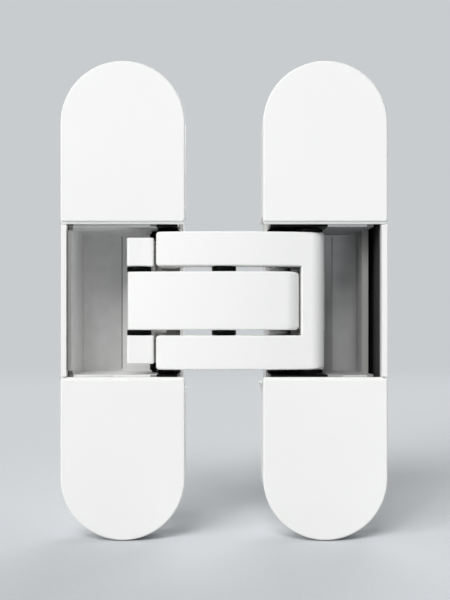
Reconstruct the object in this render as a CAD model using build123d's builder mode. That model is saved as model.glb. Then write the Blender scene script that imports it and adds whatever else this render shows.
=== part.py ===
# Concealed door hinge of the seven-pivot kind, laid open at 180 degrees.
# X runs from the frame half to the door half, Y runs into the halves, Z runs up along the pins.
# It is drawn from the front faces and moved at the end, so that the origin is on the back of the
# frame half's lugs, midway between its screw holes.
import os
from math import cos, radians, sin

from build123d import *

# front outline of one half
HALF_WIDTH = 30.0
HALF_HEIGHT = 115.5
GAP = 18.8  # between the near edges of the two halves when open
COVER_T = 1.8
COVER_EDGE = 0.4
OPENING = 18.5  # half height of the opening between the covers
INSET = 0.15  # the housing stands this far inside the covers

# housing behind the covers
LUG_DEPTH = 12.0
DEPTH = 26.4
BOX_HEIGHT = 56.0
BOX_RADIUS = 8.0
BOX_EDGE = 0.8
FLOOR_T = 1.2
RAIL_T = 1.44
RAIL_HALF = 18.3
FRAME_NEAR = (0.9, 1.7)  # thin wall of the pocket on the side of the gap
DOOR_NEAR = (1.3, 2.1)
NEAR_TOP = 13.0
FRAME_POCKET = 22.3  # half height, room for the height adjustment
DOOR_POCKET = 20.9

# fixings in the end lugs
FIX_AT = (41.0, 51.0)
FIX_R = 2.4
SINK_R = 4.7
SINK_DEPTH = 2.3
TONGUE_AT = (10.0, 46.0)  # two flat tongues hold each cover
TONGUE = (3.6, 1.2)
TONGUE_LENGTH = 3.0
TONGUE_PLAY = 0.1
CLAMP_AT = 28.5
CLAMP_R = 1.9
CLAMP_HEAD_R = 3.0
CLAMP_HEAD = (2.1, 3.7)
CLAMP_SOCKET = (1.5, 1.1)  # radius and depth of the hexagon
CLAMP_TIP = 10.5
TAB = (3.7, 5.2)
TAB_HALF = 8.0
TAB_END = 33.0
RECESS_DEPTH = 5.25
RECESS_HALF = 9.5
RECESS_END = 35.0
CLAMP_SLOT_R = 2.1
HEIGHT_TRAVEL = 1.5
SIDE_TRAVEL = 1.0

# carrier that holds the pins in each half
WALL_IN = 18.0
WALL_OUT = 20.6
CARRIER_NEAR = 1.9
CARRIER_TOP = 2.2
CARRIER_SHOULDER = 12.3
CARRIER_BACK = 25.0
CARRIER_STEP = 17.8
NEAR_FLOOR = 23.3
FAR_FLOOR = 23.9
FRAME_FAR = (27.4, 28.4)
DOOR_FAR = (25.4, 26.9)
DOOR_LOWER_NEAR = 3.3
FRAME_FAR_TOP = 2.8
DOOR_FAR_TOP = 10.0
FRAME_LIP = (0.6, 16.9)  # depth and half height of the far wall's raised lip beside the rail
COVE = 5.0  # radius where the floor turns up into the far wall

# pivots, as (distance in from the near edge, depth), the same in both halves
ARM_PIVOT = (4.4, 10.0)
END_PIVOT = (11.5, 6.0)
DEEP_PIVOT = (7.38, 15.21)
LINK_EYE = (8.207, 15.439)  # the link's own eye, open, inside its clearance
CENTRE_DEPTH = 4.0
MIDDLE = HALF_WIDTH / 2 + GAP / 2

# arms
ARM_HALF = 7.1
PRONG_IN = 8.45
PRONG_OUT = 16.75
FRONT_MID = 0.5
FRONT_DROP = 0.0045
ARM_BACK = 7.2
TIP_R = 2.75
BRIDGE_END = 3.9
BRIDGE_BACK = 2.9
BRIDGE_CLEARANCE = 3.45  # the door link stays this far from the bridge's pin
TIP_END = 7.1
ARM_END = 9.1
SLOT_END = 9.4
ARM_CORNER = 3.0
ARM_SHOULDER = 5.8
ARM_HEEL = (7.1, 8.4)
BRIDGE_CORNER = 3.2
FRONT_CORNER = 0.8  # seen from the front, at the right end of both arms
BRIDGE_SHOULDER = 4.2
NECK = ((-0.2, 8.4), (1.8, 10.4))  # back of the neck that joins an arm to its pivot
NECK_FOOT = 1.5
HEEL = (0.6, 0.4)  # the back corner of an arm's end, past the pin and behind it
BELLY = 5.0  # half length of the flat back
TOE = ((6.3, 8.6), (6.2, 5.6))
TOE_FRONT = 3.4
LEFT_END = 2.6
LEFT_BOSS = 2.85
SOFT = 0.3
BORE_FIT = 0.05

# links
LINK_OUT = 15.4
LINK_MID = 7.9
KNUCKLE_R = 3.1
BLOCK_CORNERS = ((13.05, 4.1), (9.05, 4.1))  # the knuckles are square towards the front
BLOCK_CORNER_R = 1.2
INNER_KNUCKLE_R = 2.2
INNER_KNUCKLE = 7.0
KNUCKLE_PLAY = 0.3
PIN_INSET = 0.8  # the link pins end this far inside their knuckles
LINK_WAIST = 2.6
EYE_R = 3.0
EYE_BORE = 2.2
WEB_R = 1.9
DOOR_WEB = (11.2, 11.0)  # bowed outwards, so that the centre arm's end swings past inside it

# pins and washers
TIP_PIN_R = 1.8
CENTRE_PIN_R = 1.6
END_PIN_R = 1.5
BRIDGE_PIN_R = 1.1
ANCHOR_PIN_R = 1.3
PIVOT_PIN_R = 1.7
WASHER_R = 3.0
COLLAR_R = 3.1
SPACER_R = 2.8
FLANGE = (2.45, 15.8, 17.5)  # radius and heights of the frame sleeve's flange
SLEEVE_R = 1.7
INNER_WASHER = (7.15, 8.4)  # between the arms
OUTER_WASHER = (16.8, 17.95)  # between an arm and its carrier
BRIDGE_WASHER = (16.8, 17.7)
BRIDGE_WASHER_R = 3.5
ANCHOR_SPACER = (15.5, 17.95)
PIN_END = 20.4
CENTRE_PIN_END = 15.5
TIP_PIN_START = 10.5
DOOR_ANCHOR_START = 8.8
BRIDGE_PIN_END = 17.5


def frame(u):
    return HALF_WIDTH / 2 - u


def door(u):
    return HALF_WIDTH / 2 + GAP + u


def at(side, pivot):
    return (side(pivot[0]), pivot[1])


def depth(w):
    return Plane.XZ.offset(-w)


def level(z):
    return Plane.XY.offset(z)


def front(x):
    return FRONT_MID + FRONT_DROP * (x - MIDDLE) ** 2


def is_at(edge, point):
    """Whether an upright edge stands at this point of the plan."""
    centre = edge.center()
    return abs(centre.X - point[0]) < 0.01 and abs(centre.Y - point[1]) < 0.01


def between(a, b, share):
    return (a[0] + (b[0] - a[0]) * share, a[1] + (b[1] - a[1]) * share)


def disc(centre, radius, z0, z1, mode=Mode.ADD):
    with Locations((centre[0], centre[1], (z0 + z1) / 2)):
        Cylinder(radius, z1 - z0, mode=mode)


def both_discs(centre, radius, z0, z1, mode=Mode.ADD):
    disc(centre, radius, z0, z1, mode)
    disc(centre, radius, -z1, -z0, mode)


def leg(a, ra, b, rb, z0, z1):
    """A flat bar with round ends of two sizes."""
    with BuildSketch(level(z0)) as outline:
        with Locations(a):
            Circle(ra)
        with Locations(b):
            Circle(rb)
        make_hull()
    extrude(outline.sketch, amount=z1 - z0)


def box(x, y, z, mode=Mode.ADD):
    with Locations(((x[0] + x[1]) / 2, (y[0] + y[1]) / 2, (z[0] + z[1]) / 2)):
        Box(abs(x[1] - x[0]), y[1] - y[0], z[1] - z[0], mode=mode)


def pins(centre, radius, z0, z1):
    """A pair of equal pins, one above and one below the middle."""
    with BuildPart() as pair:
        both_discs(centre, radius, z0, z1)
    return pair.part


def through_pin(centre, radius, half):
    with BuildPart() as pin:
        disc(centre, radius, -half, half)
    return pin.part


def washers(centre, outer, inner, span):
    """A pair of equal washers, one above and one below the middle."""
    with BuildPart() as pair:
        both_discs(centre, outer, *span)
        both_discs(centre, inner, *span, Mode.SUBTRACT)
    return pair.part


def tongues(middle, end, play, mode):
    """The two tongues of a cover, or with play the slots that they clip into."""
    for across in (-TONGUE_AT[0], TONGUE_AT[0]):
        x = middle + across
        z = end * TONGUE_AT[1]
        box(
            (x - TONGUE[0] / 2 - play, x + TONGUE[0] / 2 + play),
            (COVER_T - play, COVER_T + TONGUE_LENGTH + play),
            (z - TONGUE[1] / 2 - play, z + TONGUE[1] / 2 + play),
            mode,
        )


def make_housing(side, near, pocket):
    """The cast body of one half: end lugs, a deeper box and the pocket."""
    middle = side(HALF_WIDTH / 2)
    with BuildPart() as body:
        with BuildSketch(depth(COVER_T)):
            with Locations((middle, 0)):
                SlotOverall(HALF_HEIGHT - 2 * INSET, HALF_WIDTH - 2 * INSET, rotation=90)
        extrude(amount=COVER_T - LUG_DEPTH)
        with BuildSketch(depth(LUG_DEPTH)):
            with Locations((middle, 0)):
                RectangleRounded(HALF_WIDTH - 2 * INSET, BOX_HEIGHT, BOX_RADIUS)
        extrude(amount=LUG_DEPTH - DEPTH)
        chamfer(body.faces().sort_by(Axis.Y)[-1].edges(), BOX_EDGE)
        box((side(HALF_WIDTH - RAIL_T), side(HALF_WIDTH - INSET)), (0, COVER_T), (-RAIL_HALF, RAIL_HALF))
        box(
            (side(near[1]), side(HALF_WIDTH - RAIL_T)),
            (-1, DEPTH - FLOOR_T),
            (-pocket, pocket),
            Mode.SUBTRACT,
        )
        box((side(-1), side(near[0])), (-1, DEPTH + 1), (-pocket, pocket), Mode.SUBTRACT)
        box((side(-1), side(near[1] + 0.1)), (-1, NEAR_TOP), (-pocket, pocket), Mode.SUBTRACT)
        for end in (-1, 1):
            recess = sorted((end * (pocket - 1), end * RECESS_END))
            box((middle - RECESS_HALF, middle + RECESS_HALF), (1, RECESS_DEPTH), recess, Mode.SUBTRACT)
            with BuildSketch(depth(TAB[1])):
                with Locations((middle, end * CLAMP_AT)):
                    Circle(CLAMP_R)
            extrude(amount=TAB[1] - CLAMP_TIP, mode=Mode.SUBTRACT)
            for z in FIX_AT:
                with BuildSketch(depth(COVER_T)):
                    with Locations((middle, end * z)):
                        Circle(SINK_R)
                with BuildSketch(depth(COVER_T + SINK_DEPTH)):
                    with Locations((middle, end * z)):
                        Circle(FIX_R)
                loft(mode=Mode.SUBTRACT)
                with BuildSketch(depth(COVER_T + SINK_DEPTH)):
                    with Locations((middle, end * z)):
                        Circle(FIX_R)
                extrude(amount=-LUG_DEPTH, mode=Mode.SUBTRACT)
            tongues(middle, end, TONGUE_PLAY, Mode.SUBTRACT)
    return body.part


def make_cover(side, end):
    """One clip-on cover: a flat plate with a round end and two tongues behind it."""
    middle = side(HALF_WIDTH / 2)
    with BuildPart() as cover:
        with BuildSketch(depth(0)):
            with Locations((middle, 0)):
                SlotOverall(HALF_HEIGHT, HALF_WIDTH, rotation=90)
            with Locations((middle, end * (OPENING - HALF_HEIGHT / 2))):
                Rectangle(HALF_WIDTH + 2, HALF_HEIGHT, mode=Mode.SUBTRACT)
        extrude(amount=-COVER_T)
        chamfer(cover.faces().sort_by(Axis.Y)[0].edges(), COVER_EDGE)
        tongues(middle, end, 0, Mode.ADD)
    return cover.part


def make_carrier(side, far, far_top, lip, lower_near, arm_pin, slot_along_z):
    """The inner carrier: two end walls with pin bores, a stepped floor, a far wall and clamp tabs."""
    middle = side(HALF_WIDTH / 2)
    with BuildPart() as carrier:
        for end in (-1, 1):
            wall = sorted((end * WALL_IN, end * WALL_OUT))
            box((side(CARRIER_NEAR), side(far[1])), (CARRIER_TOP, CARRIER_SHOULDER), wall)
            box((side(lower_near), side(far[1])), (CARRIER_SHOULDER, CARRIER_BACK), wall)
            tab = sorted((end * (WALL_OUT - 0.5), end * TAB_END))
            box((middle - TAB_HALF, middle + TAB_HALF), TAB, tab)
        across = (-WALL_OUT, WALL_OUT)
        box((side(lower_near), side(CARRIER_STEP)), (NEAR_FLOOR, CARRIER_BACK), across)
        box((side(CARRIER_STEP), side(far[1])), (FAR_FLOOR, CARRIER_BACK), across)
        box((side(far[0]), side(far[1])), (far_top, CARRIER_BACK), across)
        foot = (side(far[0]), FAR_FLOOR)
        inner = carrier.edges().filter_by(Axis.Z).filter_by(lambda e: is_at(e, foot))
        fillet(inner, COVE)
        if lip:
            box((side(far[0]), side(far[1])), (lip[0], far_top), (-lip[1], lip[1]))
        both_discs(at(side, ARM_PIVOT), arm_pin, WALL_IN - 1, WALL_OUT + 1, Mode.SUBTRACT)
        both_discs(at(side, DEEP_PIVOT), ANCHOR_PIN_R, WALL_IN - 1, WALL_OUT + 1, Mode.SUBTRACT)
        travel = HEIGHT_TRAVEL if slot_along_z else SIDE_TRAVEL
        with BuildSketch(depth(TAB[0])):
            with Locations((middle, -CLAMP_AT), (middle, CLAMP_AT)):
                SlotCenterToCenter(2 * travel, 2 * CLAMP_SLOT_R, rotation=90 if slot_along_z else 0)
        extrude(amount=TAB[0] - TAB[1], mode=Mode.SUBTRACT)
    return carrier.part


def make_clamp_screws(side):
    """Two pan-head socket screws that clamp the carrier's tabs to the housing."""
    middle = side(HALF_WIDTH / 2)
    with BuildPart() as screws:
        for z in (-CLAMP_AT, CLAMP_AT):
            with BuildSketch(depth(CLAMP_HEAD[0])):
                with Locations((middle, z)):
                    Circle(CLAMP_HEAD_R)
            extrude(amount=CLAMP_HEAD[0] - CLAMP_HEAD[1])
            with BuildSketch(depth(CLAMP_HEAD[1])):
                with Locations((middle, z)):
                    Circle(CLAMP_R)
            extrude(amount=CLAMP_HEAD[1] - CLAMP_TIP)
            with BuildSketch(depth(CLAMP_HEAD[0])):
                with Locations((middle, z)):
                    RegularPolygon(CLAMP_SOCKET[0], 6)
            extrude(amount=-CLAMP_SOCKET[1], mode=Mode.SUBTRACT)
    return screws.part


def neck(side, pivot):
    """The back of an arm from its pivot boss to its flat back, as points."""
    boss = (pivot[0], pivot[1] + NECK_FOOT)
    return (boss, at(side, NECK[1]), at(side, NECK[0]))


def round_end(right_x, half):
    """Rounds the two corners of an arm's right end as seen from the front."""
    with BuildSketch(depth(-1)) as face:
        with Locations((right_x - 2 * MIDDLE, 0)):
            RectangleRounded(4 * MIDDLE, 2 * half, FRONT_CORNER)
    extrude(face.sketch, amount=-LUG_DEPTH * 2, mode=Mode.INTERSECT)


def soft_edges(part, height, end_x):
    """Edges of the curved front at these heights, and the upright one at the arm's end."""

    def wanted(e):
        c = e.center()
        level_with = min(abs(abs(c.Z) - h) for h in height) < 0.1
        on_front = abs(c.Y - front(c.X)) < 0.3
        at_end = abs(c.X - end_x) < 0.01 and abs(c.Y - front(end_x)) < 0.01
        return on_front and level_with or at_end

    return part.edges().filter_by(wanted)


os.makedirs("parts", exist_ok=True)
CENTRE = (MIDDLE, CENTRE_DEPTH)

# the C-shaped arm: prongs on the frame half, bridge over the door half's link
TIP = at(frame, ARM_PIVOT)
BRIDGE = at(door, END_PIVOT)
with BuildPart() as fork_arm:
    with BuildSketch(level(-PRONG_OUT)):
        with BuildLine():
            tip_x = frame(TIP_END)
            end_x = BRIDGE[0] + BRIDGE_END
            corner_x = end_x - BRIDGE_CORNER
            corner_y = front(corner_x) + BRIDGE_CORNER
            ThreePointArc((tip_x, front(tip_x)), (MIDDLE, FRONT_MID), (corner_x, front(corner_x)))
            ThreePointArc(
                (corner_x, front(corner_x)),
                (corner_x + BRIDGE_CORNER * sin(radians(45)), corner_y - BRIDGE_CORNER * cos(radians(45))),
                (end_x, corner_y),
            )
            Polyline(
                (end_x, corner_y),
                (end_x, BRIDGE[1] + HEEL[1]),
                (BRIDGE[0] + HEEL[0], BRIDGE[1] + BRIDGE_BACK),
                (BRIDGE[0] - BRIDGE_SHOULDER, ARM_BACK),
                (MIDDLE - BELLY, ARM_BACK),
                *reversed(neck(frame, TIP)),
                at(frame, TOE[0]),
                at(frame, TOE[1]),
                (tip_x, TOE_FRONT),
                (tip_x, front(tip_x)),
            )
        make_face()
        with Locations(TIP):
            Circle(TIP_R)
    extrude(amount=2 * PRONG_OUT)
    # the slot that the centre arm lies in
    box((-5, door(SLOT_END)), (-2, 20), (-PRONG_IN, PRONG_IN), Mode.SUBTRACT)
    chamfer(soft_edges(fork_arm, (PRONG_IN, PRONG_OUT), tip_x), SOFT)
    round_end(end_x, PRONG_OUT)
    # room behind the bridge for the door link's knuckle
    room = INNER_KNUCKLE + KNUCKLE_PLAY
    disc(BRIDGE, INNER_KNUCKLE_R + KNUCKLE_PLAY, -room, room, Mode.SUBTRACT)
    box(
        (door(SLOT_END) - 1, end_x + 1),
        (BRIDGE[1], 12),
        (-room, room),
        Mode.SUBTRACT,
    )
    disc(TIP, TIP_PIN_R + BORE_FIT, -PRONG_OUT, PRONG_OUT, Mode.SUBTRACT)
    disc(CENTRE, CENTRE_PIN_R, -CENTRE_PIN_END, CENTRE_PIN_END, Mode.SUBTRACT)
    disc(BRIDGE, BRIDGE_PIN_R, -PRONG_OUT - 1, PRONG_OUT + 1, Mode.SUBTRACT)

# the straight arm through the fork, pivoted in the door half
PIVOT = at(door, ARM_PIVOT)
KNUCKLE = at(frame, END_PIVOT)
with BuildPart() as centre_arm:
    with BuildSketch(level(-ARM_HALF)):
        with BuildLine():
            left = KNUCKLE[0] - LEFT_END
            right = door(ARM_END)
            turn = right - ARM_CORNER
            turn_y = front(turn) + ARM_CORNER
            ThreePointArc((left, front(left)), (MIDDLE, FRONT_MID), (turn, front(turn)))
            ThreePointArc(
                (turn, front(turn)),
                (turn + ARM_CORNER * sin(radians(45)), turn_y - ARM_CORNER * cos(radians(45))),
                (right, turn_y),
            )
            Polyline(
                (right, turn_y),
                (right, ARM_SHOULDER),
                at(door, ARM_HEEL),
                *neck(door, PIVOT),
                (MIDDLE + BELLY, ARM_BACK),
                (KNUCKLE[0] + BRIDGE_SHOULDER, ARM_BACK),
                (KNUCKLE[0] + HEEL[0], KNUCKLE[1] + LEFT_END),
                (left, KNUCKLE[1] + HEEL[0]),
                (left, front(left)),
            )
        make_face()
        with Locations(PIVOT):
            Circle(TIP_R)
        with Locations(KNUCKLE):
            Circle(LEFT_BOSS)
    extrude(amount=2 * ARM_HALF)
    chamfer(soft_edges(centre_arm, (ARM_HALF,), left), SOFT)
    round_end(right, ARM_HALF)
    disc(KNUCKLE, END_PIN_R + BORE_FIT, -ARM_HALF, ARM_HALF, Mode.SUBTRACT)
    disc(CENTRE, CENTRE_PIN_R + BORE_FIT, -ARM_HALF, ARM_HALF, Mode.SUBTRACT)
    disc(PIVOT, PIVOT_PIN_R + BORE_FIT, -ARM_HALF, ARM_HALF, Mode.SUBTRACT)

# frame link: two outer knuckles beside the centre arm, one wide eye deep in the pocket
EYE = at(frame, LINK_EYE)
WAIST = between(KNUCKLE, EYE, 0.52)
with BuildPart() as frame_link:
    for end in (-1, 1):
        span = sorted((end * PRONG_IN, end * LINK_OUT))
        with BuildSketch(level(span[0])) as block:
            with Locations(KNUCKLE):
                Circle(KNUCKLE_R)
            with Locations(at(frame, BLOCK_CORNERS[0]), at(frame, BLOCK_CORNERS[1])):
                Circle(BLOCK_CORNER_R)
            make_hull()
        extrude(block.sketch, amount=span[1] - span[0])
    for end in (-1, 1):
        span = sorted((end * PRONG_IN, end * LINK_OUT))
        leg(KNUCKLE, LINK_WAIST, WAIST, WEB_R, span[0], span[1])
    disc(WAIST, WEB_R, -PRONG_IN, PRONG_IN)
    leg(WAIST, WEB_R, EYE, EYE_R, -LINK_MID, LINK_MID)
    disc(KNUCKLE, KNUCKLE_R + BORE_FIT * 2, -PRONG_IN, PRONG_IN, Mode.SUBTRACT)
    disc(KNUCKLE, END_PIN_R, PIN_INSET - LINK_OUT, LINK_OUT - PIN_INSET, Mode.SUBTRACT)
    disc(EYE, EYE_BORE, -LINK_MID, LINK_MID, Mode.SUBTRACT)

# door link: one knuckle inside the fork's bridge, two eyes deep in the pocket
DOOR_EYE = at(door, LINK_EYE)
BOW = at(door, DOOR_WEB)
with BuildPart() as door_link:
    for end in (-1, 1):
        span = sorted((end * PRONG_IN, end * LINK_OUT))
        leg(BOW, WEB_R, DOOR_EYE, EYE_R, span[0], span[1])
    disc(BOW, WEB_R, -PRONG_IN, PRONG_IN)
    disc(BRIDGE, BRIDGE_CLEARANCE, -PRONG_OUT, PRONG_OUT, Mode.SUBTRACT)
    leg(BRIDGE, INNER_KNUCKLE_R, BOW, WEB_R, -INNER_KNUCKLE, INNER_KNUCKLE)
    disc(BRIDGE, BRIDGE_PIN_R + BORE_FIT, -INNER_KNUCKLE, INNER_KNUCKLE, Mode.SUBTRACT)
    disc(DOOR_EYE, EYE_BORE, -LINK_OUT, LINK_OUT, Mode.SUBTRACT)

# black sleeve with a flange on the frame half's deep pin
SPACER = at(frame, DEEP_PIVOT)
with BuildPart() as frame_anchor_spacers:
    both_discs(SPACER, SLEEVE_R, LINK_MID + 0.2, OUTER_WASHER[1])
    both_discs(SPACER, *FLANGE)
    both_discs(SPACER, ANCHOR_PIN_R, LINK_MID, WALL_IN, Mode.SUBTRACT)

PARTS = {
    "frame_housing": make_housing(frame, FRAME_NEAR, FRAME_POCKET),
    "frame_carrier": make_carrier(frame, FRAME_FAR, FRAME_FAR_TOP, FRAME_LIP, CARRIER_NEAR, TIP_PIN_R, True),
    "frame_cover_top": make_cover(frame, 1),
    "frame_cover_bottom": make_cover(frame, -1),
    "frame_clamp_screws": make_clamp_screws(frame),
    "fork_arm": fork_arm.part,
    "centre_arm": centre_arm.part,
    "centre_pin": through_pin(CENTRE, CENTRE_PIN_R, CENTRE_PIN_END),
    "centre_washers": washers(CENTRE, WASHER_R, CENTRE_PIN_R, INNER_WASHER),
    "frame_tip_pins": pins(TIP, TIP_PIN_R, TIP_PIN_START, PIN_END),
    "frame_tip_washers": washers(TIP, WASHER_R, TIP_PIN_R, OUTER_WASHER),
    "frame_link": frame_link.part,
    "frame_link_pin": through_pin(KNUCKLE, END_PIN_R, LINK_OUT - PIN_INSET),
    "frame_link_washers": washers(KNUCKLE, WASHER_R, END_PIN_R, INNER_WASHER),
    "frame_anchor_pin": through_pin(SPACER, ANCHOR_PIN_R, PIN_END),
    "frame_anchor_spacers": frame_anchor_spacers.part,
    "door_housing": make_housing(door, DOOR_NEAR, DOOR_POCKET),
    "door_carrier": make_carrier(door, DOOR_FAR, DOOR_FAR_TOP, None, DOOR_LOWER_NEAR, PIVOT_PIN_R, False),
    "door_cover_top": make_cover(door, 1),
    "door_cover_bottom": make_cover(door, -1),
    "door_clamp_screws": make_clamp_screws(door),
    "door_pivot_pin": through_pin(PIVOT, PIVOT_PIN_R, PIN_END),
    "door_pivot_collars": washers(PIVOT, COLLAR_R, PIVOT_PIN_R, INNER_WASHER),
    "door_pivot_washers": washers(PIVOT, WASHER_R, PIVOT_PIN_R, OUTER_WASHER),
    "door_link": door_link.part,
    "door_link_pin": through_pin(BRIDGE, BRIDGE_PIN_R, BRIDGE_PIN_END),
    "door_link_washers": washers(BRIDGE, BRIDGE_WASHER_R, BRIDGE_PIN_R, BRIDGE_WASHER),
    "door_anchor_pins": pins(at(door, DEEP_PIVOT), ANCHOR_PIN_R, DOOR_ANCHOR_START, PIN_END),
    "door_anchor_spacers": washers(at(door, DEEP_PIVOT), SPACER_R, ANCHOR_PIN_R, ANCHOR_SPACER),
}

for name, drawn in PARTS.items():
    part = drawn.moved(Location((0, -LUG_DEPTH, 0)))
    part.label = name
    export_step(part, f"parts/{name}.step")
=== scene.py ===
import bpy
import math
import numpy as np
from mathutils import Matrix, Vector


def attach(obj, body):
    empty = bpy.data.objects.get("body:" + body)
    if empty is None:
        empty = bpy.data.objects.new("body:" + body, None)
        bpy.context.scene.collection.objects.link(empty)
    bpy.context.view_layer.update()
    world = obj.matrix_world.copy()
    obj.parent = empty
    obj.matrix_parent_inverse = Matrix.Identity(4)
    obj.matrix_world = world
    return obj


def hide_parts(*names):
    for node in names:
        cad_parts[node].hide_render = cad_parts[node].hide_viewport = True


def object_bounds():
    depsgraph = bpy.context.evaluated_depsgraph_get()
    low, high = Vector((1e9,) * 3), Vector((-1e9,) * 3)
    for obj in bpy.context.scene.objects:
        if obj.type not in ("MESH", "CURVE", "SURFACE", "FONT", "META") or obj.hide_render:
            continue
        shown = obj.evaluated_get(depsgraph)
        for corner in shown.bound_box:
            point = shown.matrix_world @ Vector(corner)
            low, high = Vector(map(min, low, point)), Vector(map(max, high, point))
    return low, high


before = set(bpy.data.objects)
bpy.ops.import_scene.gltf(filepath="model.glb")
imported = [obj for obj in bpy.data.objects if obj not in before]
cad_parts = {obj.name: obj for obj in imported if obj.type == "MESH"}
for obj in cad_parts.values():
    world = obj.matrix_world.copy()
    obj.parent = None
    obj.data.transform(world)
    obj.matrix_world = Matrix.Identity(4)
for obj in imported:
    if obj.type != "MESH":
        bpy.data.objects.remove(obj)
cad_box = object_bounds()


# The hinge is looked at square on to the two faces that stay in sight in the door and in its frame.
# The lens stands 225 mm off the faces, a little left of the middle and low, so the walls on the
# right of every opening show as thin strips. The shift frames the hinge as it stands in the picture.
lens_place = (0.0227, -0.237, -0.00565)
camera = bpy.data.objects.new("camera", bpy.data.cameras.new("camera"))
camera.data.sensor_width = 36.0
camera.data.lens = 56.13
# the shift counts in lengths of the picture's longer side, which is 600 dots
camera.data.shift_x = 8 / 600
camera.data.shift_y = 24 / 600
camera.data.clip_start = 0.01
camera.location = lens_place
camera.rotation_euler = (math.radians(90), 0, 0)
bpy.context.collection.objects.link(camera)
bpy.context.scene.camera = camera
bpy.context.scene.view_settings.view_transform = "Standard"


# A roll of plain grey paper lies under the hinge and runs out to the horizon, where it meets a
# wall of the same grey. Near the hinge the paper takes shadows; far off it fades into the wall.
def linear(code):
    """An sRGB hex colour as linear RGBA: c/12.92 up to 0.04045, above it ((c + 0.055)/1.055)^2.4."""
    parts = np.array([int(code[i:i + 2], 16) for i in (1, 3, 5)]) / 255
    low, high = parts / 12.92, ((parts + 0.055) / 1.055) ** 2.4
    return (*np.where(parts <= 0.04045, low, high), 1.0)


def add(tree, kind, sockets=None, **settings):
    """Adds one node, gives it its settings, and sets or links each of the named sockets."""
    made = tree.nodes.new(kind)
    for name, value in settings.items():
        setattr(made, name, value)
    for name, value in (sockets or {}).items():
        if isinstance(value, bpy.types.NodeSocket):
            tree.links.new(value, made.inputs[name])
        else:
            made.inputs[name].default_value = value
    return made


def blank(name):
    """An empty node tree for a new material, and the material."""
    made = bpy.data.materials.new(name)
    made.use_nodes = True
    made.node_tree.nodes.clear()
    return made, made.node_tree


def skin_over(points, ring=False, caps=False):
    """The faces over a rows x columns grid whose columns close into a ring: each cell is one face.
    With ring the last row joins the first, and with caps the first and last rows are closed flat."""
    rows, columns = points.shape[:2]
    row, column = np.meshgrid(np.arange(rows if ring else rows - 1), np.arange(columns), indexing="ij")
    ahead, beside = (row + 1) % rows * columns, (column + 1) % columns
    row = row * columns
    cells = np.stack([row + column, row + beside, ahead + beside, ahead + column], axis=-1)
    faces = cells.reshape(-1, 4).tolist()
    if caps:
        faces += [list(range(columns))[::-1], list(range((rows - 1) * columns, rows * columns))]
    return points.reshape(-1, 3), faces


def lay(name, shells, look):
    """One mesh object made of these closed shells, in metres, with its material."""
    starts = np.cumsum([0] + [len(points) for points, faces in shells])
    points = np.concatenate([points for points, faces in shells])
    faces = [[start + i for i in face] for start, (_, each) in zip(starts, shells) for face in each]
    mesh = bpy.data.meshes.new(name)
    mesh.from_pydata(points.tolist(), [], faces)
    mesh.shade_smooth()
    mesh.set_sharp_from_angle(angle=math.radians(40))
    mesh.materials.append(look)
    made = bpy.data.objects.new(name, mesh)
    bpy.context.collection.objects.link(made)
    return made


PAPER_GREY = "#C9CCCF"
PAPER_REACH, PAPER_BELOW = 6.0, 0.0002
hinge_middle = (0.0244, 0.0, 0.0)
turn = np.linspace(0, 2 * math.pi, 97)[:-1]
reach = np.concatenate([[0.0001], np.geomspace(0.05, PAPER_REACH, 24)])
paper_points = np.stack([
    reach[:, None] * np.cos(turn) + hinge_middle[0],
    reach[:, None] * np.sin(turn),
    np.full((len(reach), len(turn)), cad_box[0].z - PAPER_BELOW),
], axis=-1)

paper_look, tree = blank("matt_paper")
place = add(tree, "ShaderNodeTexCoord").outputs["Object"]
fibre = add(tree, "ShaderNodeTexNoise", {"Vector": place, "Scale": 900.0, "Detail": 3.0})
tone = add(tree, "ShaderNodeMix", {
    0: fibre.outputs["Fac"], 6: linear("#C6C9CC"), 7: linear("#CCCFD2"),
}, data_type="RGBA")
sheet = add(tree, "ShaderNodeBsdfDiffuse", {"Color": tone.outputs[2], "Roughness": 0.6})
far = add(tree, "ShaderNodeEmission", {"Color": linear(PAPER_GREY), "Strength": 1.0})
distance = add(tree, "ShaderNodeVectorMath", {0: place}, operation="LENGTH")
fade = add(tree, "ShaderNodeMapRange", {
    "Value": distance.outputs["Value"], "From Min": 0.25, "From Max": 0.9,
}, interpolation_type="SMOOTHSTEP")
both = add(tree, "ShaderNodeMixShader", {
    0: fade.outputs["Result"], 1: sheet.outputs[0], 2: far.outputs[0],
})
add(tree, "ShaderNodeOutputMaterial", {"Surface": both.outputs[0]})
paper = lay("paper_floor", [skin_over(paper_points)], paper_look)

world = bpy.data.worlds.new("grey_room")
world.use_nodes = True
world.node_tree.nodes.clear()
tree = world.node_tree
path = add(tree, "ShaderNodeLightPath")
seen = add(tree, "ShaderNodeMath", {
    0: path.outputs["Is Camera Ray"], 1: path.outputs["Is Glossy Ray"],
}, operation="MAXIMUM")
seen = add(tree, "ShaderNodeMath", {
    0: seen.outputs[0], 1: path.outputs["Is Transmission Ray"],
}, operation="MAXIMUM")
wall = add(tree, "ShaderNodeBackground", {"Color": linear(PAPER_GREY), "Strength": 1.0})
air = add(tree, "ShaderNodeBackground", {"Color": (1.0, 1.0, 1.0, 1.0), "Strength": 0.24})
sky = add(tree, "ShaderNodeMixShader", {
    0: seen.outputs[0], 1: air.outputs[0], 2: wall.outputs[0],
})
add(tree, "ShaderNodeOutputWorld", {"Surface": sky.outputs[0]})
bpy.context.scene.world = world


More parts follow.
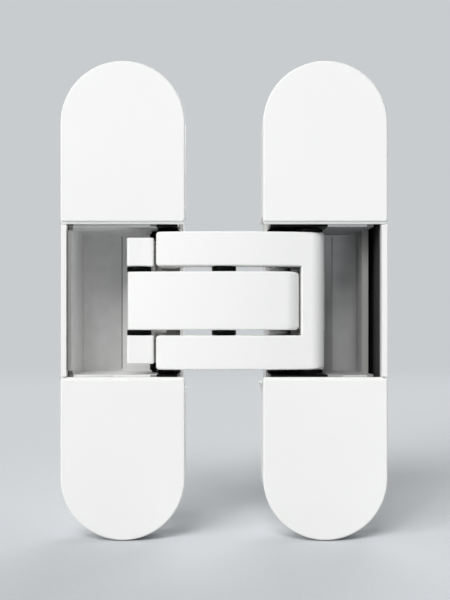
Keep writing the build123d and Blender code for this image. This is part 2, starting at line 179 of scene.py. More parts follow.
# A large soft box stands to the left and in front, and a smaller one high in front, as in a
# catalogue picture: the faces are even and bright and each cavity darkens towards its top. A low
# one lightens what faces down, and one behind rims the backs.
def soft_box(name, place, aim, side, watts):
    """A square lamp of that side in metres at place, turned towards aim."""
    lamp = bpy.data.lights.new(name, "AREA")
    lamp.shape = "SQUARE"
    lamp.size = side
    lamp.energy = watts
    made = bpy.data.objects.new(name, lamp)
    from_to = np.array(aim) - np.array(place)
    flat = math.hypot(from_to[0], from_to[1])
    made.location = place
    made.rotation_euler = (
        math.atan2(flat, -from_to[2]), 0, math.atan2(from_to[1], from_to[0]) - math.pi / 2,
    )
    bpy.context.collection.objects.link(made)


soft_box("soft_box_left", (-1.9, -2.4, 1.45), hinge_middle, 2.0, 62.0)
soft_box("soft_box_high", (-0.5, -2.6, 2.2), hinge_middle, 1.2, 42.0)
soft_box("soft_box_low", (-0.1, -2.0, -1.0), hinge_middle, 1.0, 14.0)
soft_box("soft_box_back", (0.4, 1.6, 0.9), hinge_middle, 1.0, 28.0)


# Each half is a zinc die casting: a flat-backed shell with round ends, let into the door or its
# frame. It is powder coated white after casting; the bottom of the pocket looks dull and dark, and
# is taken to be the grey phosphate under the powder, which the spray hardly covers there.
CLOUDS = {"From Min": 0.3, "From Max": 0.7}  # a noise texture keeps mostly to this span


def powder_coat(name, high, low, darkened=None):
    """White polyester powder baked on zinc: matt, very slightly uneven in tone over 20 mm, with the
    soft orange peel that the melted powder leaves, 0.8 mm from crest to crest. A socket from 0 to 1,
    if given, turns its colour to a very dark grey, mottled over 1.5 mm."""
    uneven, crest, mottle, peel_height = 0.02, 0.0008, 0.0015, 0.000012
    made, tree = blank(name)
    place = add(tree, "ShaderNodeTexCoord").outputs["Object"]
    cloud = add(tree, "ShaderNodeTexNoise", {"Vector": place, "Scale": 1 / uneven})
    tone = add(tree, "ShaderNodeMix", {
        0: cloud.outputs["Fac"], 6: linear(low), 7: linear(high),
    }, data_type="RGBA")
    peel = add(tree, "ShaderNodeTexNoise", {
        "Vector": place, "Scale": 1 / crest, "Detail": 1.5, "Roughness": 0.4,
    })
    dull = add(tree, "ShaderNodeMapRange", {
        "Value": peel.outputs["Fac"], **CLOUDS, "To Min": 0.58, "To Max": 0.66,
    })
    if darkened:
        mottling = add(tree, "ShaderNodeTexNoise", {"Vector": place, "Scale": 1 / mottle, "Detail": 4.0})
        phosphate = add(tree, "ShaderNodeMix", {
            0: mottling.outputs["Fac"], 6: linear("#2A2A2C"), 7: linear("#3A3A3C"),
        }, data_type="RGBA")
        tone = add(tree, "ShaderNodeMix", {
            0: darkened(tree, place), 6: tone.outputs[2], 7: phosphate.outputs[2],
        }, data_type="RGBA")
    ripple = add(tree, "ShaderNodeBump", {
        "Height": peel.outputs["Fac"], "Distance": peel_height, "Strength": 1.0,
    })
    coat = add(tree, "ShaderNodeBsdfPrincipled", {
        "Base Color": tone.outputs[2], "Roughness": dull.outputs["Result"], "IOR": 1.5,
        "Normal": ripple.outputs["Normal"],
    })
    add(tree, "ShaderNodeOutputMaterial", {"Surface": coat.outputs[0]})
    return made


def within(tree, place, spans):
    """1 inside every one of these (axis, middle, half width) spans in metres, and 0 elsewhere."""
    spot = add(tree, "ShaderNodeSeparateXYZ", {0: place})
    inside = 1.0
    for axis, centre, reach in spans:
        near = add(tree, "ShaderNodeMath", {
            0: spot.outputs[axis], 1: centre, 2: reach,
        }, operation="COMPARE")
        inside = add(tree, "ShaderNodeMath", {
            0: inside, 1: near.outputs[0],
        }, operation="MULTIPLY").outputs[0]
    return inside


POCKET_UP, POCKET_WIDE, POCKET_DEEP = 0.0228, 0.0134, 0.0134
DARKENS_OVER = (-0.0105, -0.0085)


def in_pocket(middle):
    """Where the colour turns a very dark grey in one half: all over the pocket, whose middle is given,
    setting in between 1.5 and 3.5 mm below the face. The thin wall towards the gap is left white."""
    def share(tree, place):
        fade = add(tree, "ShaderNodeMapRange", {
            "Value": add(tree, "ShaderNodeSeparateXYZ", {0: place}).outputs["Y"],
            "From Min": DARKENS_OVER[0], "From Max": DARKENS_OVER[1],
        }, interpolation_type="SMOOTHSTEP")
        walls = within(tree, place, (
            ("X", middle, POCKET_WIDE), ("Z", 0.0, POCKET_UP), ("Y", 0.0, POCKET_DEEP),
        ))
        return add(tree, "ShaderNodeMath", {
            0: fade.outputs["Result"], 1: walls,
        }, operation="MULTIPLY").outputs[0]
    return share


def finish(names, look):
    """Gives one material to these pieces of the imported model."""
    for name in names:
        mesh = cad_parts[name].data
        mesh.materials.clear()
        mesh.materials.append(look)


for name, middle in (("frame_housing", -0.0003), ("door_housing", 0.0493)):
    finish([name], powder_coat("powder_coated_" + name, "#F4F3F1", "#F1F0EE", in_pocket(middle)))


# A cradle inside each half carries the arms and slides in its shell to adjust the door. Both are
# zinc castings too, but silver: tumbled and, it is taken, nickel plated, so they are satin.
def soften(names, radius):
    """Rounds every edge sharper than 30 degrees of these castings by that radius in metres, as the
    die's polished corners and the melted powder do."""
    for name in names:
        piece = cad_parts[name]
        weld = piece.modifiers.new("joined_faces", "WELD")
        weld.merge_threshold = 0.000002
        round_off = piece.modifiers.new("soft_edges", "BEVEL")
        round_off.width = radius
        round_off.segments = 3
        round_off.limit_method = "ANGLE"
        round_off.angle_limit = math.radians(30)
        round_off.use_clamp_overlap = True
        level = piece.modifiers.new("level_faces", "WEIGHTED_NORMAL")
        level.keep_sharp = False


def middle_of(low, high):
    """The middle and half width of the span from low to high."""
    return (low + high) / 2, (high - low) / 2


# The half width and half height of the line of painted shade in the step's crease, and the height where
# the painted-light top tone is full.
CREASE_HALF, CREASE_UP, TOP_TONE_AT = 0.00012, 0.0175, 0.015
# the height and the depth span over which the end walls are coloured black
BLACK_UP, BLACK_TO = 0.0187, (-0.012, 0.0)


def plated_zinc(name, left, right, top, wall, step, crease_shade, beyond, rim, black_span):
    """Nickel plate on die-cast zinc, broken up by 4 mm clouds of casting flow and a 0.3 mm tumbled
    grain. It scatters far more than it mirrors, so its metallic share is small. Its other tones are
    painted light and shade. Its floor runs from the left to the right tone over the two x of the
    step, against the shade of the walls; a fine line of painted shade, in the crease tone, parts it
    from the next level, painted lighter in the tone beyond against the arms' shadow; upwards it
    changes to the top tone, painted light against the top wall's shade. The walls get a tone of their
    own as painted light and shade; outside the rim's two x the cradle is painted a dull dark grey as
    painted shade. Between the last two x given the end walls are black."""
    flow_size, grain_size, grain_height = 0.004, 0.0003, 0.000008
    made, tree = blank(name)
    texture = add(tree, "ShaderNodeTexCoord")
    place = texture.outputs["Object"]
    flow = add(tree, "ShaderNodeTexNoise", {"Vector": place, "Scale": 1 / flow_size, "Detail": 4.0})
    flow = flow.outputs["Fac"]
    tumbled = add(tree, "ShaderNodeTexNoise", {"Vector": place, "Scale": 1 / grain_size})
    grain = add(tree, "ShaderNodeBump", {
        "Height": tumbled.outputs["Fac"], "Distance": grain_height, "Strength": 1.0,
    })
    spot = add(tree, "ShaderNodeSeparateXYZ", {0: place})
    across = spot.outputs["X"]
    # painted light: upwards the floor takes the top tone, against the shade of the top wall
    top_light_share = add(tree, "ShaderNodeMapRange", {"Value": spot.outputs["Z"], "From Max": TOP_TONE_AT})
    # painted light and shade: the floor's tone runs from left to right, against the shade the walls
    # cast
    floor_light_share = add(tree, "ShaderNodeMapRange", {
        "Value": across, "From Min": step[0], "From Max": step[1],
    })
    # painted light: the level beyond the step gets its own lighter tone, against the arms' shadow
    past = add(tree, "ShaderNodeMath", {0: across, 1: step[1]}, operation="GREATER_THAN")
    # painted shade: a dark line 0.24 mm wide in the step's crease
    line = within(tree, place, (("X", step[1], CREASE_HALF), ("Z", 0.0, CREASE_UP)))
    # painted shade: outside the rim's two x the cradle is a dull dark grey
    inside_rim = within(tree, place, (("X", *middle_of(*rim)),))
    # painted light and shade: faces turned sideways, the walls, take the wall tone
    facing = add(tree, "ShaderNodeSeparateXYZ", {0: texture.outputs["Normal"]}).outputs["Y"]
    facing = add(tree, "ShaderNodeMath", {0: facing}, operation="ABSOLUTE").outputs[0]
    stained = add(tree, "ShaderNodeMapRange", {"Value": flow, **CLOUDS, "To Max": 0.12})
    tone = linear(left)
    for share, first, second in (
        (floor_light_share.outputs["Result"], None, right), (past.outputs[0], None, beyond),
        (top_light_share.outputs["Result"], None, top), (line, None, crease_shade), (inside_rim, "#8E8D8A", None),
        (facing, wall, None), (stained.outputs["Result"], None, "#81807D"),
    ):
        # the tone so far stands in the place of the one that isn't named
        tone = add(tree, "ShaderNodeMix", {
            0: share, 6: linear(first) if first else tone, 7: linear(second) if second else tone,
        }, data_type="RGBA").outputs[2]
    satin = add(tree, "ShaderNodeMapRange", {"Value": flow, **CLOUDS, "To Min": 0.5, "To Max": 0.62})
    metal = add(tree, "ShaderNodeBsdfPrincipled", {
        "Base Color": tone, "Roughness": satin.outputs["Result"], "Metallic": 0.1,
        "Normal": grain.outputs["Normal"],
    })
    black_tone = add(tree, "ShaderNodeMix", {
        0: flow, 6: linear("#040405"), 7: linear("#070708"),
    }, data_type="RGBA")
    black = add(tree, "ShaderNodeBsdfPrincipled", {
        "Base Color": black_tone.outputs[2], "Roughness": 0.35, "IOR": 1.22,
    })
    # the end walls are coloured black between the last two x, in the front 12 mm
    black_span_share = within(tree, place, (
        ("X", *middle_of(*black_span)), ("Y", *middle_of(*BLACK_TO)), ("Z", 0.0, BLACK_UP),
    ))
    both = add(tree, "ShaderNodeMixShader", {0: black_span_share, 1: metal.outputs[0], 2: black.outputs[0]})
    add(tree, "ShaderNodeOutputMaterial", {"Surface": both.outputs[0]})
    return made


# The floor, top, beyond, wall and crease tones below, and the dull grey outside the rim, are painted
# light and shade, not colours of the plate itself.
finish(["frame_carrier"], plated_zinc(
    "nickel_plated_zinc_frame_cradle", left="#F5F5F4", right="#D4D4D3", top="#E9E9E8",
    wall="#FBFBFA", step=(-0.0110, -0.0025), crease_shade="#6D6C6A", beyond="#EBEBEA",
    rim=(-0.0122, 0.0065), black_span=(0.0080, 0.0145),
))
finish(["door_carrier"], plated_zinc(
    "nickel_plated_zinc_door_cradle", left="#A1A1A1", right="#A5A5A5", top="#F7F7F7",
    wall="#ABABAB", step=(0.0500, 0.0533), crease_shade="#A1A1A1", beyond="#C8C8C8",
    rim=(0.0385, 0.0591), black_span=(0.0350, 0.0496),
))
soften(["frame_carrier", "door_carrier"], 0.00015)


# Every pivot is a steel pin, turned and then ground to its size, with both its edges broken. It is
# pressed into a cradle, an arm or a link, and the others turn on it.
def in_place(points):
    """Points in mm, with the depth counted from the front faces, as metres in the hinge's frame,
    whose origin lies 12 mm behind the faces."""
    return (points - np.array([0.0, 12.0, 0.0])) / 1000


def turned(pivot, outline, ring, sides=56):
    """A lathe-turned shell: the (radius, height) outline spun about the pivot's upright axis. Point
    = pivot + radius * (cos, sin) of the turn, at its height. A ring's outline closes on itself; a
    solid one is closed flat at both ends."""
    angle = np.linspace(0, 2 * math.pi, sides, endpoint=False)
    radius, height = outline[:, 0, None], outline[:, 1, None]
    points = np.stack([
        pivot[0] + radius * np.cos(angle),
        pivot[1] + radius * np.sin(angle),
        height + 0 * angle,
    ], axis=-1)
    return skin_over(in_place(points), ring=ring, caps=not ring)


def stand_for(node, shells, look, body):
    """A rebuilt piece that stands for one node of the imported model, on that node's body."""
    made = lay("visual_" + node, shells, look)
    level = made.modifiers.new("level_faces", "WEIGHTED_NORMAL")
    level.keep_sharp = True
    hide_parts(node)
    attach(made, body)


def ground_steel(name, tone):
    """Ground and oiled steel: bright, its gloss streaked round the pin by the wheel. The streaks are
    too fine to see, so they are drawn 0.1 mm apart and twenty times as long."""
    streak = 0.0001
    made, tree = blank(name)
    place = add(tree, "ShaderNodeTexCoord").outputs["Object"]
    along = add(tree, "ShaderNodeMapping", {"Vector": place, "Scale": (0.05, 0.05, 1.0)})
    wheel = add(tree, "ShaderNodeTexNoise", {"Vector": along.outputs[0], "Scale": 1 / streak})
    wheel = wheel.outputs["Fac"]
    ground = add(tree, "ShaderNodeMix", {
        0: wheel, 6: linear(tone), 7: linear("#C4C5C7"),
    }, data_type="RGBA")
    gloss = add(tree, "ShaderNodeMapRange", {"Value": wheel, **CLOUDS, "To Min": 0.2, "To Max": 0.32})
    metal = add(tree, "ShaderNodeBsdfPrincipled", {
        "Base Color": ground.outputs[2], "Roughness": gloss.outputs["Result"], "Metallic": 1.0,
    })
    add(tree, "ShaderNodeOutputMaterial", {"Surface": metal.outputs[0]})
    return made


def frame_x(inward):
    """The x in mm of a spot this far in from the gap-side edge of the frame half."""
    return 15.0 - inward


def door_x(inward):
    """The same from the gap-side edge of the door half, 18.8 mm further on."""
    return 33.8 + inward


CENTRE = (24.4, 4.0)
TIP = (frame_x(4.4), 10.0)
PIVOT = (door_x(4.4), 10.0)
FRAME_KNUCKLE = (frame_x(11.5), 6.0)
DOOR_KNUCKLE = (door_x(11.5), 6.0)
FRAME_DEEP = (frame_x(7.38), 15.21)
DOOR_DEEP = (door_x(7.38), 15.21)
BROKEN_EDGE = 0.2
pin_steel = ground_steel("ground_steel_pin", "#B0B1B3")
for node, body, pivot, radius, spans in (
    ("centre_pin", "fork", CENTRE, 1.6, [(-15.5, 15.5)]),
    ("frame_tip_pins", "frame_carriage", TIP, 1.8, [(-20.4, -10.5), (10.5, 20.4)]),
    ("frame_link_pin", "link_in_frame", FRAME_KNUCKLE, 1.5, [(-14.6, 14.6)]),
    ("frame_anchor_pin", "frame_carriage", FRAME_DEEP, 1.3, [(-20.4, 20.4)]),
    ("door_pivot_pin", "door_carriage", PIVOT, 1.7, [(-20.4, 20.4)]),
    ("door_link_pin", "fork", DOOR_KNUCKLE, 1.1, [(-17.5, 17.5)]),
    ("door_anchor_pins", "door_carriage", DOOR_DEEP, 1.3, [(-20.4, -8.8), (8.8, 20.4)]),
):
    shells = [turned(pivot, np.array([
        [radius - BROKEN_EDGE, low], [radius, low + BROKEN_EDGE],
        [radius, high - BROKEN_EDGE], [radius - BROKEN_EDGE, high],
    ]), ring=False) for low, high in spans]
    stand_for(node, shells, pin_steel, body)


# The door half's link steers the fork: a zinc casting with one knuckle inside the fork's bridge and
# two open eyes round the pins deep in the pocket. It is coated white like the arms.
arm_coat = powder_coat("powder_coated_zinc_arm", "#F5F5F3", "#F2F2F0")
finish(["door_link"], arm_coat)
soften(["door_link"], 0.0004)


# The C-shaped fork is one zinc casting, coated white: two prongs that turn on the frame half's tip
# pins, and a bridge over the door half's link. Its front is slightly hollow and its edges are soft.
def rounded(corners, steps=6):
    """A closed outline in mm from (x, y, radius) corners: each is an arc whose centre lies on the
    corner's bisector, radius / sin(half the angle) from it, so it touches both sides. A corner
    with no radius stays a point."""
    def turn(before, corner, after):
        spot, radius = corner[:2], corner[2]
        if not radius:
            return spot[None]
        back, ahead = before[:2] - spot, after[:2] - spot
        back, ahead = back / np.linalg.norm(back), ahead / np.linalg.norm(ahead)
        half = math.acos(back @ ahead) / 2
        middle = (back + ahead) / np.linalg.norm(back + ahead)
        centre = spot + middle * radius / math.sin(half)
        first = spot + back * radius / math.tan(half) - centre
        last = spot + ahead * radius / math.tan(half) - centre
        sweep = math.pi - 2 * half
        share = np.linspace(0, 1, steps)[:, None]
        return centre + (
            first * np.sin((1 - share) * sweep) + last * np.sin(share * sweep)
        ) / math.sin(sweep)

    spots = np.array(corners, float)
    around = zip(np.roll(spots, 1, 0), spots, np.roll(spots, -1, 0))
    return np.concatenate([turn(*near) for near in around])


def front(x):
    """Depth in mm of the arms' front: 0.5 at the middle pin, plus 0.0045 times the distance squared."""
    return 0.5 + 0.0045 * (x - CENTRE[0]) ** 2


def arc(centre, radius, start, end, steps):
    """Points in mm on a circle from one angle in degrees to another, as corners without a radius."""
    angle = np.radians(np.linspace(start, end, steps))
    return np.stack([
        centre[0] + radius * np.cos(angle), centre[1] + radius * np.sin(angle), 0 * angle,
    ], axis=-1)


def front_curve(left, right, steps=24):
    """The arms' front from left to right, as corners without a radius."""
    x = np.linspace(left, right, steps)
    return np.stack([x, front(x), 0 * x], axis=-1)


def cast_bar(outline, low, high, soft_low, soft_high, steps=5):
    """A casting of one outline (x, depth), carried along z from low to high. Near each end it draws
    in along its own mitred normals by soft * (1 - cos a) where z is soft * (1 - sin a) from the end,
    a quarter circle. The two softs are arrays, one radius in mm for each point of the outline."""
    ahead = np.roll(outline, -1, 0) - outline
    ahead = ahead / np.linalg.norm(ahead, axis=1)[:, None]
    behind = np.roll(ahead, 1, 0)
    both = ahead + behind
    both = both / np.linalg.norm(both, axis=1)[:, None]
    mitre = np.clip(np.sum(both * ahead, axis=1), 0.5, 1)
    inward = np.stack([-both[:, 1], both[:, 0]], axis=-1) / mitre[:, None]
    turn = np.linspace(math.pi / 2, 0, steps)[:, None]
    draw = np.concatenate([soft_low * (1 - np.cos(turn)), (soft_high * (1 - np.cos(turn)))[::-1]])
    z = np.concatenate([
        low + soft_low * (1 - np.sin(turn)), high - (soft_high * (1 - np.sin(turn)))[::-1],
    ])
    flat = outline[None] + inward[None] * draw[..., None]
    return np.concatenate([flat, z[..., None]], axis=-1)


def ramp(x, start, end):
    """0 before start and 1 after end, with a smooth step 3t^2 - 2t^3 between them."""
    share = np.clip((x - start) / (end - start), 0, 1)
    return share * share * (3 - 2 * share)


EDGE, PRONG_SOFTER, ROLL_SOFTER, SOFTER_OVER = 0.4, 0.3, 0.5, 2.0
PRONG, CHEEK = (8.45, 16.75), 7.3
FORK_LEFT, SLOT_RIGHT, FORK_RIGHT = 7.9, 43.2, 49.2
ROLL_START, FORK_ROLL, TIP_BOSS, GROOVE = 45.0, 4.2, 2.75, 2.5
fork_front = front_curve(FORK_LEFT, ROLL_START)
fork_front[0, 2] = 0.9  # the front corner of the prongs' ends
fork_roll = arc((ROLL_START, front(ROLL_START) + FORK_ROLL), FORK_ROLL, -84, -3, 14)
# corners as (x, depth, radius): the right end, the back of the bridge and the back of the prongs
fork_back = [
    (FORK_RIGHT, 6.4, 1.2), (45.9, 8.9, 1.0), (41.1, 7.2, 2.0), (15.2, 8.4, 1.5), (13.2, 10.4, 0.6),
]
tip_boss = arc(TIP, TIP_BOSS, 20, 215, 16)
tip_notch = [(8.75, 7.4, 0.4), (8.8, 5.6, 0.8), (FORK_LEFT, 3.4, 0.8)]
prong = rounded([*fork_front, *fork_roll, *fork_back, *tip_boss, *tip_notch])
at_tip = PRONG_SOFTER * ramp(-prong[:, 0], -FORK_LEFT - SOFTER_OVER, -FORK_LEFT)
prong_edge = EDGE + ROLL_SOFTER * ramp(prong[:, 0], ROLL_START, FORK_RIGHT) + at_tip
# beside the slot the edge is sharp from the bridge on, where the cheek carries on
slot_edge = (EDGE + at_tip) * ramp(-prong[:, 0], -SLOT_RIGHT, -SLOT_RIGHT + 2 * EDGE)
shells = [
    cast_bar(prong, PRONG[0], PRONG[1], slot_edge, prong_edge),
    cast_bar(prong, -PRONG[1], -PRONG[0], prong_edge, slot_edge),
]
past_slot = fork_front[fork_front[:, 0] > SLOT_RIGHT + 0.5]
slot_corner = [(SLOT_RIGHT, front(SLOT_RIGHT), EDGE)]
cheek = rounded([*slot_corner, *past_slot, *fork_roll, *fork_back[:2], (SLOT_RIGHT, 7.94, 0)])
# the bridge is hollowed behind by a round groove, in which the link's knuckle turns
groove = arc(DOOR_KNUCKLE, GROOVE, 0, -147, 14)
bridge = rounded([
    *slot_corner, *past_slot, *fork_roll, (FORK_RIGHT, 5.8, 0), (FORK_RIGHT, 6.0, 0), *groove,
])
plain = np.zeros(len(cheek))
shells += [
    cast_bar(cheek, CHEEK, PRONG[0], plain, plain), cast_bar(cheek, -PRONG[0], -CHEEK, plain, plain),
    cast_bar(bridge, -CHEEK, CHEEK, np.zeros(len(bridge)), np.zeros(len(bridge))),
]
shells = [skin_over(in_place(each), caps=True) for each in shells]
stand_for("fork_arm", shells, arm_coat, "fork")


# The frame half's link is one zinc casting, coated white: two square-fronted blocks beside the
# centre arm run back through webs to one wide eye, bored larger than the pin deep in the pocket.
def strap(a, radius_a, b, radius_b):
    """The outline of a flat bar with round ends of two sizes: two arcs that meet along their common
    tangents, which stand off the line a-b by the arc cosine of (radius_a - radius_b) / length."""
    run = np.array(b) - np.array(a)
    heading = math.degrees(math.atan2(run[1], run[0]))
    off = math.degrees(math.acos((radius_a - radius_b) / math.hypot(*run)))
    return np.concatenate([
        arc(a, radius_a, heading + off, heading + 360 - off, 14),
        arc(b, radius_b, heading - off, heading + off, 14),
    ])[:, :2]


def soft_bar(outline, low, high, soft=0.35):
    """A casting of one outline with the same soft edge all round, as a closed shell."""
    edge = np.full(len(outline), soft)
    return skin_over(in_place(cast_bar(outline, low, high, edge, edge)), caps=True)


FRAME_EYE = (frame_x(8.207), 15.439)
EYE_BORE, EYE_ROUND, EYE_HALF, EYE_EDGE = 2.2, 3.0, 7.9, 0.35
BEND_SHARE, BEND_ROUND, WEB_ROUND = 0.52, 1.9, 2.6
BLOCK, BEND_HALF = (8.45, 15.4), 8.6
LINK_BEND = tuple(np.array(FRAME_KNUCKLE) * (1 - BEND_SHARE) + np.array(FRAME_EYE) * BEND_SHARE)
block = rounded([(0.72, 2.9, 0.7), (7.38, 2.9, 0.7), (6.75, 9.1, 2.6), (0.45, 9.1, 2.6)])
web = strap(FRAME_KNUCKLE, WEB_ROUND, LINK_BEND, BEND_ROUND)
# the neck starts round the bend and ends hollow, halfway into the wall of the eye
to_eye = np.array(FRAME_EYE) - np.array(LINK_BEND)
heading = math.degrees(math.atan2(to_eye[1], to_eye[0]))
neck = np.concatenate([
    arc(LINK_BEND, BEND_ROUND, heading + 95, heading + 265, 14),
    arc(FRAME_EYE, (EYE_BORE + EYE_ROUND) / 2, heading - 125, heading - 235, 14),
])[:, :2]
eye = rounded([
    (EYE_BORE, -EYE_HALF, 0.1), (EYE_ROUND, -EYE_HALF, EYE_EDGE),
    (EYE_ROUND, EYE_HALF, EYE_EDGE), (EYE_BORE, EYE_HALF, 0.1),
])
shells = [turned(FRAME_EYE, eye, ring=True), soft_bar(neck, 0.2 - EYE_HALF, EYE_HALF - 0.2, 0.2)]
# a round bar joins neck and webs at the bend, drawn as a strap of next to no length
bend = strap(LINK_BEND, BEND_ROUND, LINK_BEND + np.array([0.0, 0.01]), BEND_ROUND)
shells.append(soft_bar(bend, -BEND_HALF, BEND_HALF, 0.1))
for low, high in ((-BLOCK[1], -BLOCK[0]), BLOCK):
    shells += [soft_bar(block, low, high), soft_bar(web, low, high)]
stand_for("frame_link", shells, arm_coat, "link_in_frame")


# The centre arm lies in the fork's slot and crosses it on the middle pin: a straight zinc casting,
# coated white, with a knuckle at the frame half's link and a neck down to the door half's pivot pin.
ARM_LEFT, ARM_RIGHT, ARM_HALF = 0.9, 42.9, 7.1
TURN_START, ARM_ROLL, PIVOT_BOSS, KNUCKLE_BOSS, TURN_SOFTER = 39.1, 3.8, 2.75, 2.85, 0.6
arm_front = front_curve(ARM_LEFT, TURN_START)
arm_front[0, 2] = 0.8  # the front corner of the knuckle
# corners as (x, depth, radius), round from the front over the right end and along the back
arm = rounded([
    *arm_front,
    *arc((TURN_START, front(TURN_START) + ARM_ROLL), ARM_ROLL, -86, -3, 12),
    (ARM_RIGHT, 6.4, 0.9), (40.95, 8.4, 0.5),
    *arc(PIVOT, PIVOT_BOSS, -8, 178, 16),
    (33.6, 8.4, 1.5), (29.4, 7.2, 2.0), (7.7, 7.2, 1.5),
    *arc(FRAME_KNUCKLE, KNUCKLE_BOSS, 52, 204, 14),
])
arm_edge = EDGE + TURN_SOFTER * ramp(arm[:, 0], TURN_START, ARM_RIGHT)
stand_for("centre_arm", [
    skin_over(in_place(cast_bar(arm, -ARM_HALF, ARM_HALF, arm_edge, arm_edge)), caps=True),
], arm_coat, "middle_arm")


# Washers moulded in black acetal are threaded on the pins and keep the castings apart. The pin deep
# in the frame half has a flanged sleeve of the same on each end instead.
def moulded_acetal(name):
    """Black acetal from a polished mould: black and softly glossy, its gloss a little uneven over
    1 mm. Its IOR is well under acetal's own, because the washers show hardly any shine."""
    uneven = 0.001
    made, tree = blank(name)
    place = add(tree, "ShaderNodeTexCoord").outputs["Object"]
    cloud = add(tree, "ShaderNodeTexNoise", {"Vector": place, "Scale": 1 / uneven}).outputs["Fac"]
    tone = add(tree, "ShaderNodeMix", {
        0: cloud, 6: linear("#040405"), 7: linear("#070708"),
    }, data_type="RGBA")
    gloss = add(tree, "ShaderNodeMapRange", {"Value": cloud, **CLOUDS, "To Min": 0.18, "To Max": 0.24})
    plastic = add(tree, "ShaderNodeBsdfPrincipled", {
        "Base Color": tone.outputs[2], "Roughness": gloss.outputs["Result"], "IOR": 1.15,
    })
    add(tree, "ShaderNodeOutputMaterial", {"Surface": plastic.outputs[0]})
    return made


def washer(pivot, outer, bore, low, high, rim=0.25):
    """A ring from bore to outer radius with a round rim, its inner corners sharp."""
    outline = rounded([(bore, low, 0), (outer, low, rim), (outer, high, rim), (bore, high, 0)])
    return turned(pivot, outline, ring=True)


black_acetal = moulded_acetal("moulded_black_acetal")
BETWEEN_ARMS, BESIDE_CRADLE, BESIDE_BRIDGE = (7.15, 8.4), (16.8, 17.95), (16.8, 17.7)
for node, body, pivot, outer, bore, (low, high) in (
    ("centre_washers", "fork", CENTRE, 3.0, 1.6, BETWEEN_ARMS),
    ("frame_tip_washers", "frame_carriage", TIP, 3.0, 1.8, BESIDE_CRADLE),
    ("frame_link_washers", "link_in_frame", FRAME_KNUCKLE, 3.0, 1.5, BETWEEN_ARMS),
    ("door_pivot_washers", "door_carriage", PIVOT, 3.0, 1.7, BESIDE_CRADLE),
    ("door_link_washers", "fork", DOOR_KNUCKLE, 3.5, 1.1, BESIDE_BRIDGE),
    ("door_anchor_spacers", "door_carriage", DOOR_DEEP, 2.8, 1.3, (15.5, 17.95)),
):
    pair = [washer(pivot, outer, bore, *span) for span in ((low, high), (-high, -low))]
    stand_for(node, pair, black_acetal, body)

# the sleeve's outline as (radius, height), with the flange standing out to 2.15
sleeve = np.array([
    [1.3, 15.5], [1.7, 15.5], [1.7, 15.8], [2.0, 15.8], [2.15, 15.95],
    [2.15, 17.35], [2.0, 17.5], [1.7, 17.5], [1.7, 17.95], [1.3, 17.95],
])
stand_for("frame_anchor_spacers", [
    turned(FRAME_DEEP, sleeve, ring=True),
    turned(FRAME_DEEP, (sleeve * (1, -1))[::-1], ring=True),
], black_acetal, "frame_carriage")


# Two turned steel collars on the door half's pivot pin fill the slot between the arms. Their colour
# is painted light at the gap and painted shade deeper in, as if lit from the left and shaded on the
# right.
def painted_light_steel(name, bright, shaded):
    """Turned steel with painted light and shade: its colour falls from the bright tone, painted light,
    to the shaded tone, painted shade, over 5.5 mm. Its gloss is uneven over 0.6 mm, and it scatters
    more light than it mirrors."""
    smear_size = 0.0006
    made, tree = blank(name)
    place = add(tree, "ShaderNodeTexCoord").outputs["Object"]
    smear = add(tree, "ShaderNodeTexNoise", {"Vector": place, "Scale": 1 / smear_size})
    # painted light and shade: along x the colour falls from the lit to the shaded tone
    painted_shade_share = add(tree, "ShaderNodeMapRange", {
        "Value": add(tree, "ShaderNodeSeparateXYZ", {0: place}).outputs["X"],
        "From Min": bright[1], "From Max": shaded[1],
    })
    tone = add(tree, "ShaderNodeMix", {
        0: painted_shade_share.outputs["Result"], 6: linear(bright[0]), 7: linear(shaded[0]),
    }, data_type="RGBA")
    gloss = add(tree, "ShaderNodeMapRange", {
        "Value": smear.outputs["Fac"], **CLOUDS, "To Min": 0.25, "To Max": 0.4,
    })
    metal = add(tree, "ShaderNodeBsdfPrincipled", {
        "Base Color": tone.outputs[2], "Roughness": gloss.outputs["Result"], "Metallic": 0.3,
    })
    add(tree, "ShaderNodeOutputMaterial", {"Surface": metal.outputs[0]})
    return made


# painted light and shade: near white at x 35.2 mm as if lit, falling to near black at x 40.7 mm as if
# shaded
collar_steel = painted_light_steel("steel_collar_painted_light", ("#F0F0F0", 0.0352), ("#1C1C1E", 0.0407))
stand_for("door_pivot_collars", [
    washer(PIVOT, 3.1, 1.7, *span) for span in (BETWEEN_ARMS, (-8.4, -7.15))
], collar_steel, "door_carriage")


# Two steel screws in each half clamp the cradle's tabs to the shell once the door hangs straight.
# Their low pan heads, with a hexagon socket, stay under the covers.
HALF_WIDTH, SCREW_UP = 15.0, 28.5
HEAD, SHANK, SOCKET = 3.0, 1.9, 1.5
# radius, depth, and 1 where the row is the socket's hexagon
rows = np.array([
    [1.5, 10.5, 0], [SHANK, 10.1, 0], [SHANK, 3.7, 0], [HEAD, 3.7, 0], [HEAD, 2.6, 0], [2.85, 2.3, 0],
    [2.5, 2.1, 0], [SOCKET + 0.1, 2.1, 1], [SOCKET, 2.2, 1], [SOCKET, 3.2, 1], [0.05, 3.4, 1],
])
around = np.linspace(0, 2 * math.pi, 60, endpoint=False)
flat_side = math.cos(math.pi / 6) / np.cos((around + math.pi / 6) % (math.pi / 3) - math.pi / 6)
reach = rows[:, 0, None] * np.where(rows[:, 2, None] > 0, flat_side, 1)
for node, body, middle in (
    ("frame_clamp_screws", "frame", frame_x(HALF_WIDTH)),
    ("door_clamp_screws", "door", door_x(HALF_WIDTH)),
):
    shells = [skin_over(in_place(np.stack([
        middle + reach * np.cos(around),
        rows[:, 1, None] + 0 * around,
        height + reach * np.sin(around),
    ], axis=-1)), caps=True) for height in (-SCREW_UP, SCREW_UP)]
    stand_for(node, shells, pin_steel, body)


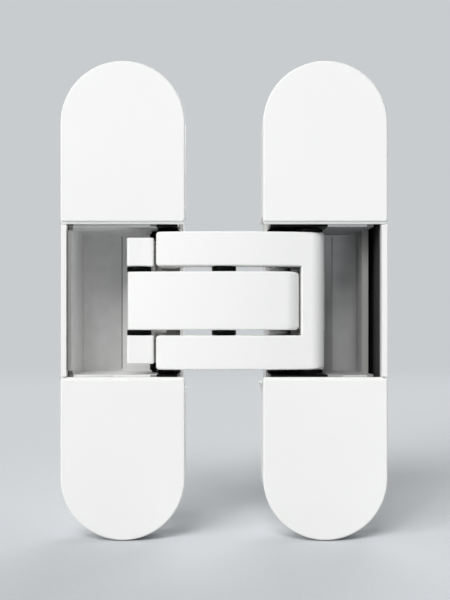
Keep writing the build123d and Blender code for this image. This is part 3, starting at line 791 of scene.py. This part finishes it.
# Four covers close the round ends: thin zinc castings, coated white, with a rounded front edge.
# A lip stands out from under the edge at the pocket, and two tongues behind each clip it into the
# shell, over the screw holes.
COVER_THICK, COVER_ROLL, COVER_ROUND, COVER_CORNER = 1.8, 0.45, 42.74, 0.7
OPENING, LIP_DEPTH, LIP_SHOWN, LIP_HALF, LIP_BACK = 18.5, 0.5, 0.45, 14.9, 2.0
TONGUE_AT, TONGUE_ACROSS, TONGUE_LONG, TONGUE_INSIDE = 46.0, 10.0, 3.0, 0.2
TONGUE_THICK, TONGUE_WIDE = 0.6, 1.8  # halves of its thickness and its width


def plate(outline, front_depth, back_depth, soft):
    """A casting of one outline (z, x), carried along the depth, with its front edge rounded."""
    front_edge, back_edge = np.full(len(outline), soft), np.full(len(outline), 0.1)
    points = cast_bar(outline, front_depth, back_depth, front_edge, back_edge)
    return skin_over(in_place(np.roll(points, -1, axis=-1)), caps=True)


cover_coat = powder_coat("powder_coated_zinc_cover", "#F5F5F3", "#F2F2F0")
for half, middle in (("frame", frame_x(HALF_WIDTH)), ("door", door_x(HALF_WIDTH))):
    for name, up in (("top", 1), ("bottom", -1)):
        edge_at = OPENING + LIP_SHOWN
        end = arc((0, 0), HALF_WIDTH, -90, 90, 72) + np.array([COVER_ROUND, 0, 0])
        outline = rounded([
            (edge_at, HALF_WIDTH, COVER_CORNER), (edge_at, -HALF_WIDTH, COVER_CORNER), *end,
        ], steps=10)
        lip = rounded([
            (OPENING, LIP_HALF, 0.5), (OPENING, -LIP_HALF, 0.5),
            (OPENING + LIP_BACK, -LIP_HALF, 0.5), (OPENING + LIP_BACK, LIP_HALF, 0.5),
        ])
        layers = [(outline, 0.0, COVER_THICK, COVER_ROLL), (lip, LIP_DEPTH, COVER_THICK, 0.12)]
        for across in (-TONGUE_ACROSS, TONGUE_ACROSS):
            tongue = rounded([
                (TONGUE_AT - TONGUE_THICK, across + TONGUE_WIDE, 0.3),
                (TONGUE_AT - TONGUE_THICK, across - TONGUE_WIDE, 0.3),
                (TONGUE_AT + TONGUE_THICK, across - TONGUE_WIDE, 0.3),
                (TONGUE_AT + TONGUE_THICK, across + TONGUE_WIDE, 0.3),
            ])
            layers.append((tongue, COVER_THICK - TONGUE_INSIDE, COVER_THICK + TONGUE_LONG, 0.1))
        # the bottom cover is the top one turned half round
        shells = [
            plate(edge * up + (0.0, middle), front_depth, back_depth, soft)
            for edge, front_depth, back_depth, soft in layers
        ]
        stand_for(f"{half}_cover_{name}", shells, cover_coat, half)
